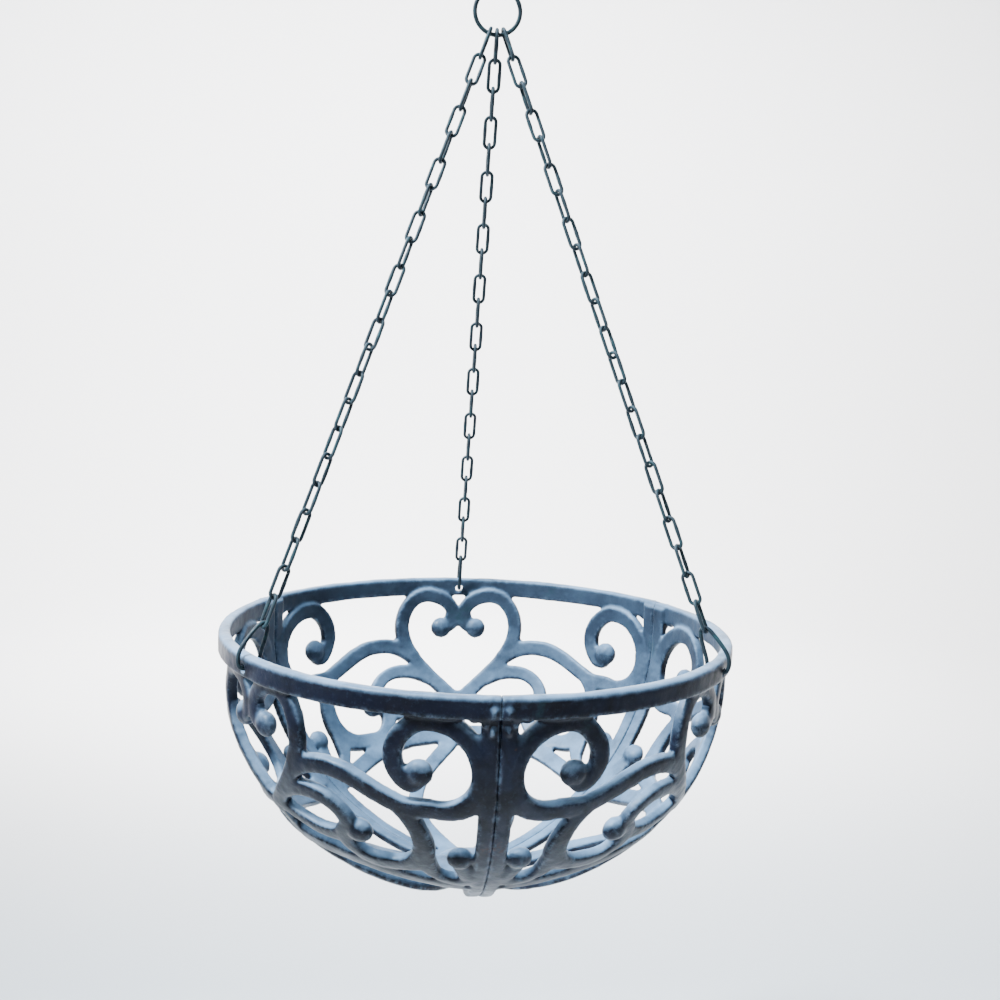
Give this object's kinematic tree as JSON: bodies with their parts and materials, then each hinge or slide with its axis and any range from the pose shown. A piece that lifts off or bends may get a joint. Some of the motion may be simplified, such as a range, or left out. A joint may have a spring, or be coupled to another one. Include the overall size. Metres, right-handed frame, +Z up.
{
  "type": "hanging basket",
  "caption": "Round-bottomed hanging basket cast in openwork heart and scroll panels, hung from a ring by link chains that hook into its rim.",
  "frame": {"origin": "the top of the ring's eye, where the ring rests on the hook it hangs from", "axes": "+Z up along the basket's axis, +Y towards the rear chain, +X to the right across the face of the ring"},
  "size_m": [0.35, 0.3539, 0.603],
  "materials": {
    "painted_iron": "satin blue-grey paint over a rough casting",
    "ring_steel": "dark plated steel wire, dulled by weather",
    "chain_steel": "dark plated steel wire with a green-blue tint"
  },
  "bodies": {
    "top_ring": {"top_ring": "ring_steel"},
    "basket": {"panel_rear": "painted_iron", "panel_left": "painted_iron", "panel_right": "painted_iron"},
    "chain_rear_01": {"chain_rear_01": "chain_steel"},
    "chain_rear_02": {"chain_rear_02": "chain_steel"},
    "chain_rear_03": {"chain_rear_03": "chain_steel"},
    "chain_rear_04": {"chain_rear_04": "chain_steel"},
    "chain_rear_05": {"chain_rear_05": "chain_steel"},
    "chain_rear_06": {"chain_rear_06": "chain_steel"},
    "hook_rear": {"hook_rear": "chain_steel"},
    "chain_rear_11": {"chain_rear_11": "chain_steel"},
    "chain_rear_10": {"chain_rear_10": "chain_steel"},
    "chain_rear_09": {"chain_rear_09": "chain_steel"},
    "chain_rear_08": {"chain_rear_08": "chain_steel"},
    "chain_rear_07": {"chain_rear_07": "chain_steel"},
    "chain_left_01": {"chain_left_01": "chain_steel"},
    "chain_left_02": {"chain_left_02": "chain_steel"},
    "chain_left_03": {"chain_left_03": "chain_steel"},
    "chain_left_04": {"chain_left_04": "chain_steel"},
    "chain_left_05": {"chain_left_05": "chain_steel"},
    "chain_left_06": {"chain_left_06": "chain_steel"},
    "hook_left": {"hook_left": "chain_steel"},
    "chain_left_11": {"chain_left_11": "chain_steel"},
    "chain_left_10": {"chain_left_10": "chain_steel"},
    "chain_left_09": {"chain_left_09": "chain_steel"},
    "chain_left_08": {"chain_left_08": "chain_steel"},
    "chain_left_07": {"chain_left_07": "chain_steel"},
    "chain_right_01": {"chain_right_01": "chain_steel"},
    "chain_right_02": {"chain_right_02": "chain_steel"},
    "chain_right_03": {"chain_right_03": "chain_steel"},
    "chain_right_04": {"chain_right_04": "chain_steel"},
    "chain_right_05": {"chain_right_05": "chain_steel"},
    "chain_right_06": {"chain_right_06": "chain_steel"},
    "hook_right": {"hook_right": "chain_steel"},
    "chain_right_11": {"chain_right_11": "chain_steel"},
    "chain_right_10": {"chain_right_10": "chain_steel"},
    "chain_right_09": {"chain_right_09": "chain_steel"},
    "chain_right_08": {"chain_right_08": "chain_steel"},
    "chain_right_07": {"chain_right_07": "chain_steel"}
  },
  "joints": [
    {"name": "basket_swing", "type": "hinge", "parent": "top_ring", "child": "basket", "pos_m": [0, 0, -0.02815], "axis": [1, 0, 0], "range_deg": [-20, 20]},
    {"name": "rear_chain_sway", "type": "hinge", "parent": "basket", "child": "chain_rear_01", "pos_m": [0, 0, -0.02815], "axis": [0, 1, 0], "range_deg": [-5, 5]},
    {"name": "chain_rear_02_turn", "type": "hinge", "parent": "chain_rear_01", "child": "chain_rear_02", "pos_m": [0, 0.01394, -0.06062], "axis": [0, 1, 0], "range_deg": [-1, 1]},
    {"name": "chain_rear_03_turn", "type": "hinge", "parent": "chain_rear_02", "child": "chain_rear_03", "pos_m": [0, 0.0287, -0.09502], "axis": [0, 1, 0], "range_deg": [-1, 1]},
    {"name": "chain_rear_04_turn", "type": "hinge", "parent": "chain_rear_03", "child": "chain_rear_04", "pos_m": [0, 0.04347, -0.12941], "axis": [0, 1, 0], "range_deg": [-1, 1]},
    {"name": "chain_rear_05_turn", "type": "hinge", "parent": "chain_rear_04", "child": "chain_rear_05", "pos_m": [0, 0.05823, -0.16381], "axis": [0, 1, 0], "range_deg": [-1, 1]},
    {"name": "chain_rear_06_turn", "type": "hinge", "parent": "chain_rear_05", "child": "chain_rear_06", "pos_m": [0, 0.073, -0.19821], "axis": [0, 1, 0], "range_deg": [-1, 1]},
    {"name": "rear_hook_turn", "type": "hinge", "parent": "basket", "child": "hook_rear", "pos_m": [0, 0.17075, -0.4297], "axis": [0, 1, 0], "range_deg": [-5.5, 5.5]},
    {"name": "chain_rear_11_turn", "type": "hinge", "parent": "hook_rear", "child": "chain_rear_11", "pos_m": [0, 0.16118, -0.40365], "axis": [0, 1, 0], "range_deg": [-1, 1]},
    {"name": "chain_rear_10_turn", "type": "hinge", "parent": "chain_rear_11", "child": "chain_rear_10", "pos_m": [0, 0.14647, -0.36937], "axis": [0, 1, 0], "range_deg": [-1, 1]},
    {"name": "chain_rear_09_turn", "type": "hinge", "parent": "chain_rear_10", "child": "chain_rear_09", "pos_m": [0, 0.1317, -0.33497], "axis": [0, 1, 0], "range_deg": [-1, 1]},
    {"name": "chain_rear_08_turn", "type": "hinge", "parent": "chain_rear_09", "child": "chain_rear_08", "pos_m": [0, 0.11694, -0.30058], "axis": [0, 1, 0], "range_deg": [-1, 1]},
    {"name": "chain_rear_07_turn", "type": "hinge", "parent": "chain_rear_08", "child": "chain_rear_07", "pos_m": [0, 0.10217, -0.26618], "axis": [0, 1, 0], "range_deg": [-1, 1]},
    {"name": "left_chain_sway", "type": "hinge", "parent": "basket", "child": "chain_left_01", "pos_m": [-0.005, 0, -0.02728], "axis": [-0.866, -0.5, 0], "range_deg": [-5, 5]},
    {"name": "chain_left_02_turn", "type": "hinge", "parent": "chain_left_01", "child": "chain_left_02", "pos_m": [-0.01663, -0.00697, -0.05982], "axis": [-0.866, -0.5, 0], "range_deg": [-1, 1]},
    {"name": "chain_left_03_turn", "type": "hinge", "parent": "chain_left_02", "child": "chain_left_03", "pos_m": [-0.02896, -0.01435, -0.0943], "axis": [-0.866, -0.5, 0], "range_deg": [-1, 1]},
    {"name": "chain_left_04_turn", "type": "hinge", "parent": "chain_left_03", "child": "chain_left_04", "pos_m": [-0.04129, -0.02173, -0.12878], "axis": [-0.866, -0.5, 0], "range_deg": [-1, 1]},
    {"name": "chain_left_05_turn", "type": "hinge", "parent": "chain_left_04", "child": "chain_left_05", "pos_m": [-0.05362, -0.02912, -0.16326], "axis": [-0.866, -0.5, 0], "range_deg": [-1, 1]},
    {"name": "chain_left_06_turn", "type": "hinge", "parent": "chain_left_05", "child": "chain_left_06", "pos_m": [-0.06594, -0.0365, -0.19773], "axis": [-0.866, -0.5, 0], "range_deg": [-1, 1]},
    {"name": "left_hook_turn", "type": "hinge", "parent": "basket", "child": "hook_left", "pos_m": [-0.14787, -0.08538, -0.4297], "axis": [-0.866, -0.5, 0], "range_deg": [-5.5, 5.5]},
    {"name": "chain_left_11_turn", "type": "hinge", "parent": "hook_left", "child": "chain_left_11", "pos_m": [-0.13957, -0.08059, -0.40366], "axis": [-0.866, -0.5, 0], "range_deg": [-1, 1]},
    {"name": "chain_left_10_turn", "type": "hinge", "parent": "chain_left_11", "child": "chain_left_10", "pos_m": [-0.12728, -0.07323, -0.3693], "axis": [-0.866, -0.5, 0], "range_deg": [-1, 1]},
    {"name": "chain_left_09_turn", "type": "hinge", "parent": "chain_left_10", "child": "chain_left_09", "pos_m": [-0.11496, -0.06585, -0.33482], "axis": [-0.866, -0.5, 0], "range_deg": [-1, 1]},
    {"name": "chain_left_08_turn", "type": "hinge", "parent": "chain_left_09", "child": "chain_left_08", "pos_m": [-0.10263, -0.05847, -0.30034], "axis": [-0.866, -0.5, 0], "range_deg": [-1, 1]},
    {"name": "chain_left_07_turn", "type": "hinge", "parent": "chain_left_08", "child": "chain_left_07", "pos_m": [-0.0903, -0.05109, -0.26586], "axis": [-0.866, -0.5, 0], "range_deg": [-1, 1]},
    {"name": "right_chain_sway", "type": "hinge", "parent": "basket", "child": "chain_right_01", "pos_m": [0.005, 0, -0.02728], "axis": [0.866, -0.5, 0], "range_deg": [-5, 5]},
    {"name": "chain_right_02_turn", "type": "hinge", "parent": "chain_right_01", "child": "chain_right_02", "pos_m": [0.01663, -0.00697, -0.05982], "axis": [0.866, -0.5, 0], "range_deg": [-1, 1]},
    {"name": "chain_right_03_turn", "type": "hinge", "parent": "chain_right_02", "child": "chain_right_03", "pos_m": [0.02896, -0.01435, -0.0943], "axis": [0.866, -0.5, 0], "range_deg": [-1, 1]},
    {"name": "chain_right_04_turn", "type": "hinge", "parent": "chain_right_03", "child": "chain_right_04", "pos_m": [0.04129, -0.02173, -0.12878], "axis": [0.866, -0.5, 0], "range_deg": [-1, 1]},
    {"name": "chain_right_05_turn", "type": "hinge", "parent": "chain_right_04", "child": "chain_right_05", "pos_m": [0.05362, -0.02912, -0.16326], "axis": [0.866, -0.5, 0], "range_deg": [-1, 1]},
    {"name": "chain_right_06_turn", "type": "hinge", "parent": "chain_right_05", "child": "chain_right_06", "pos_m": [0.06594, -0.0365, -0.19773], "axis": [0.866, -0.5, 0], "range_deg": [-1, 1]},
    {"name": "right_hook_turn", "type": "hinge", "parent": "basket", "child": "hook_right", "pos_m": [0.14787, -0.08538, -0.4297], "axis": [0.866, -0.5, 0], "range_deg": [-5.5, 5.5]},
    {"name": "chain_right_11_turn", "type": "hinge", "parent": "hook_right", "child": "chain_right_11", "pos_m": [0.13957, -0.08059, -0.40366], "axis": [0.866, -0.5, 0], "range_deg": [-1, 1]},
    {"name": "chain_right_10_turn", "type": "hinge", "parent": "chain_right_11", "child": "chain_right_10", "pos_m": [0.12728, -0.07323, -0.3693], "axis": [0.866, -0.5, 0], "range_deg": [-1, 1]},
    {"name": "chain_right_09_turn", "type": "hinge", "parent": "chain_right_10", "child": "chain_right_09", "pos_m": [0.11496, -0.06585, -0.33482], "axis": [0.866, -0.5, 0], "range_deg": [-1, 1]},
    {"name": "chain_right_08_turn", "type": "hinge", "parent": "chain_right_09", "child": "chain_right_08", "pos_m": [0.10263, -0.05847, -0.30034], "axis": [0.866, -0.5, 0], "range_deg": [-1, 1]},
    {"name": "chain_right_07_turn", "type": "hinge", "parent": "chain_right_08", "child": "chain_right_07", "pos_m": [0.0903, -0.05109, -0.26586], "axis": [0.866, -0.5, 0], "range_deg": [-1, 1]}
  ],
  "couplings": [
    {"joint": "chain_rear_02_turn", "follows": "rear_chain_sway", "ratio": -0.18482},
    {"joint": "chain_rear_03_turn", "follows": "rear_chain_sway", "ratio": -0.18482},
    {"joint": "chain_rear_04_turn", "follows": "rear_chain_sway", "ratio": -0.18482},
    {"joint": "chain_rear_05_turn", "follows": "rear_chain_sway", "ratio": -0.18482},
    {"joint": "chain_rear_06_turn", "follows": "rear_chain_sway", "ratio": -0.18482},
    {"joint": "rear_hook_turn", "follows": "rear_chain_sway", "ratio": -1.033},
    {"joint": "chain_rear_11_turn", "follows": "rear_chain_sway", "ratio": 0.18482},
    {"joint": "chain_rear_10_turn", "follows": "rear_chain_sway", "ratio": 0.18482},
    {"joint": "chain_rear_09_turn", "follows": "rear_chain_sway", "ratio": 0.18482},
    {"joint": "chain_rear_08_turn", "follows": "rear_chain_sway", "ratio": 0.18482},
    {"joint": "chain_rear_07_turn", "follows": "rear_chain_sway", "ratio": 0.18482},
    {"joint": "chain_left_02_turn", "follows": "left_chain_sway", "ratio": -0.18485},
    {"joint": "chain_left_03_turn", "follows": "left_chain_sway", "ratio": -0.18485},
    {"joint": "chain_left_04_turn", "follows": "left_chain_sway", "ratio": -0.18485},
    {"joint": "chain_left_05_turn", "follows": "left_chain_sway", "ratio": -0.18485},
    {"joint": "chain_left_06_turn", "follows": "left_chain_sway", "ratio": -0.18485},
    {"joint": "left_hook_turn", "follows": "left_chain_sway", "ratio": -1.0333},
    {"joint": "chain_left_11_turn", "follows": "left_chain_sway", "ratio": 0.18485},
    {"joint": "chain_left_10_turn", "follows": "left_chain_sway", "ratio": 0.18485},
    {"joint": "chain_left_09_turn", "follows": "left_chain_sway", "ratio": 0.18485},
    {"joint": "chain_left_08_turn", "follows": "left_chain_sway", "ratio": 0.18485},
    {"joint": "chain_left_07_turn", "follows": "left_chain_sway", "ratio": 0.18485},
    {"joint": "chain_right_02_turn", "follows": "right_chain_sway", "ratio": -0.18485},
    {"joint": "chain_right_03_turn", "follows": "right_chain_sway", "ratio": -0.18485},
    {"joint": "chain_right_04_turn", "follows": "right_chain_sway", "ratio": -0.18485},
    {"joint": "chain_right_05_turn", "follows": "right_chain_sway", "ratio": -0.18485},
    {"joint": "chain_right_06_turn", "follows": "right_chain_sway", "ratio": -0.18485},
    {"joint": "right_hook_turn", "follows": "right_chain_sway", "ratio": -1.0333},
    {"joint": "chain_right_11_turn", "follows": "right_chain_sway", "ratio": 0.18485},
    {"joint": "chain_right_10_turn", "follows": "right_chain_sway", "ratio": 0.18485},
    {"joint": "chain_right_09_turn", "follows": "right_chain_sway", "ratio": 0.18485},
    {"joint": "chain_right_08_turn", "follows": "right_chain_sway", "ratio": 0.18485},
    {"joint": "chain_right_07_turn", "follows": "right_chain_sway", "ratio": 0.18485}
  ]
}
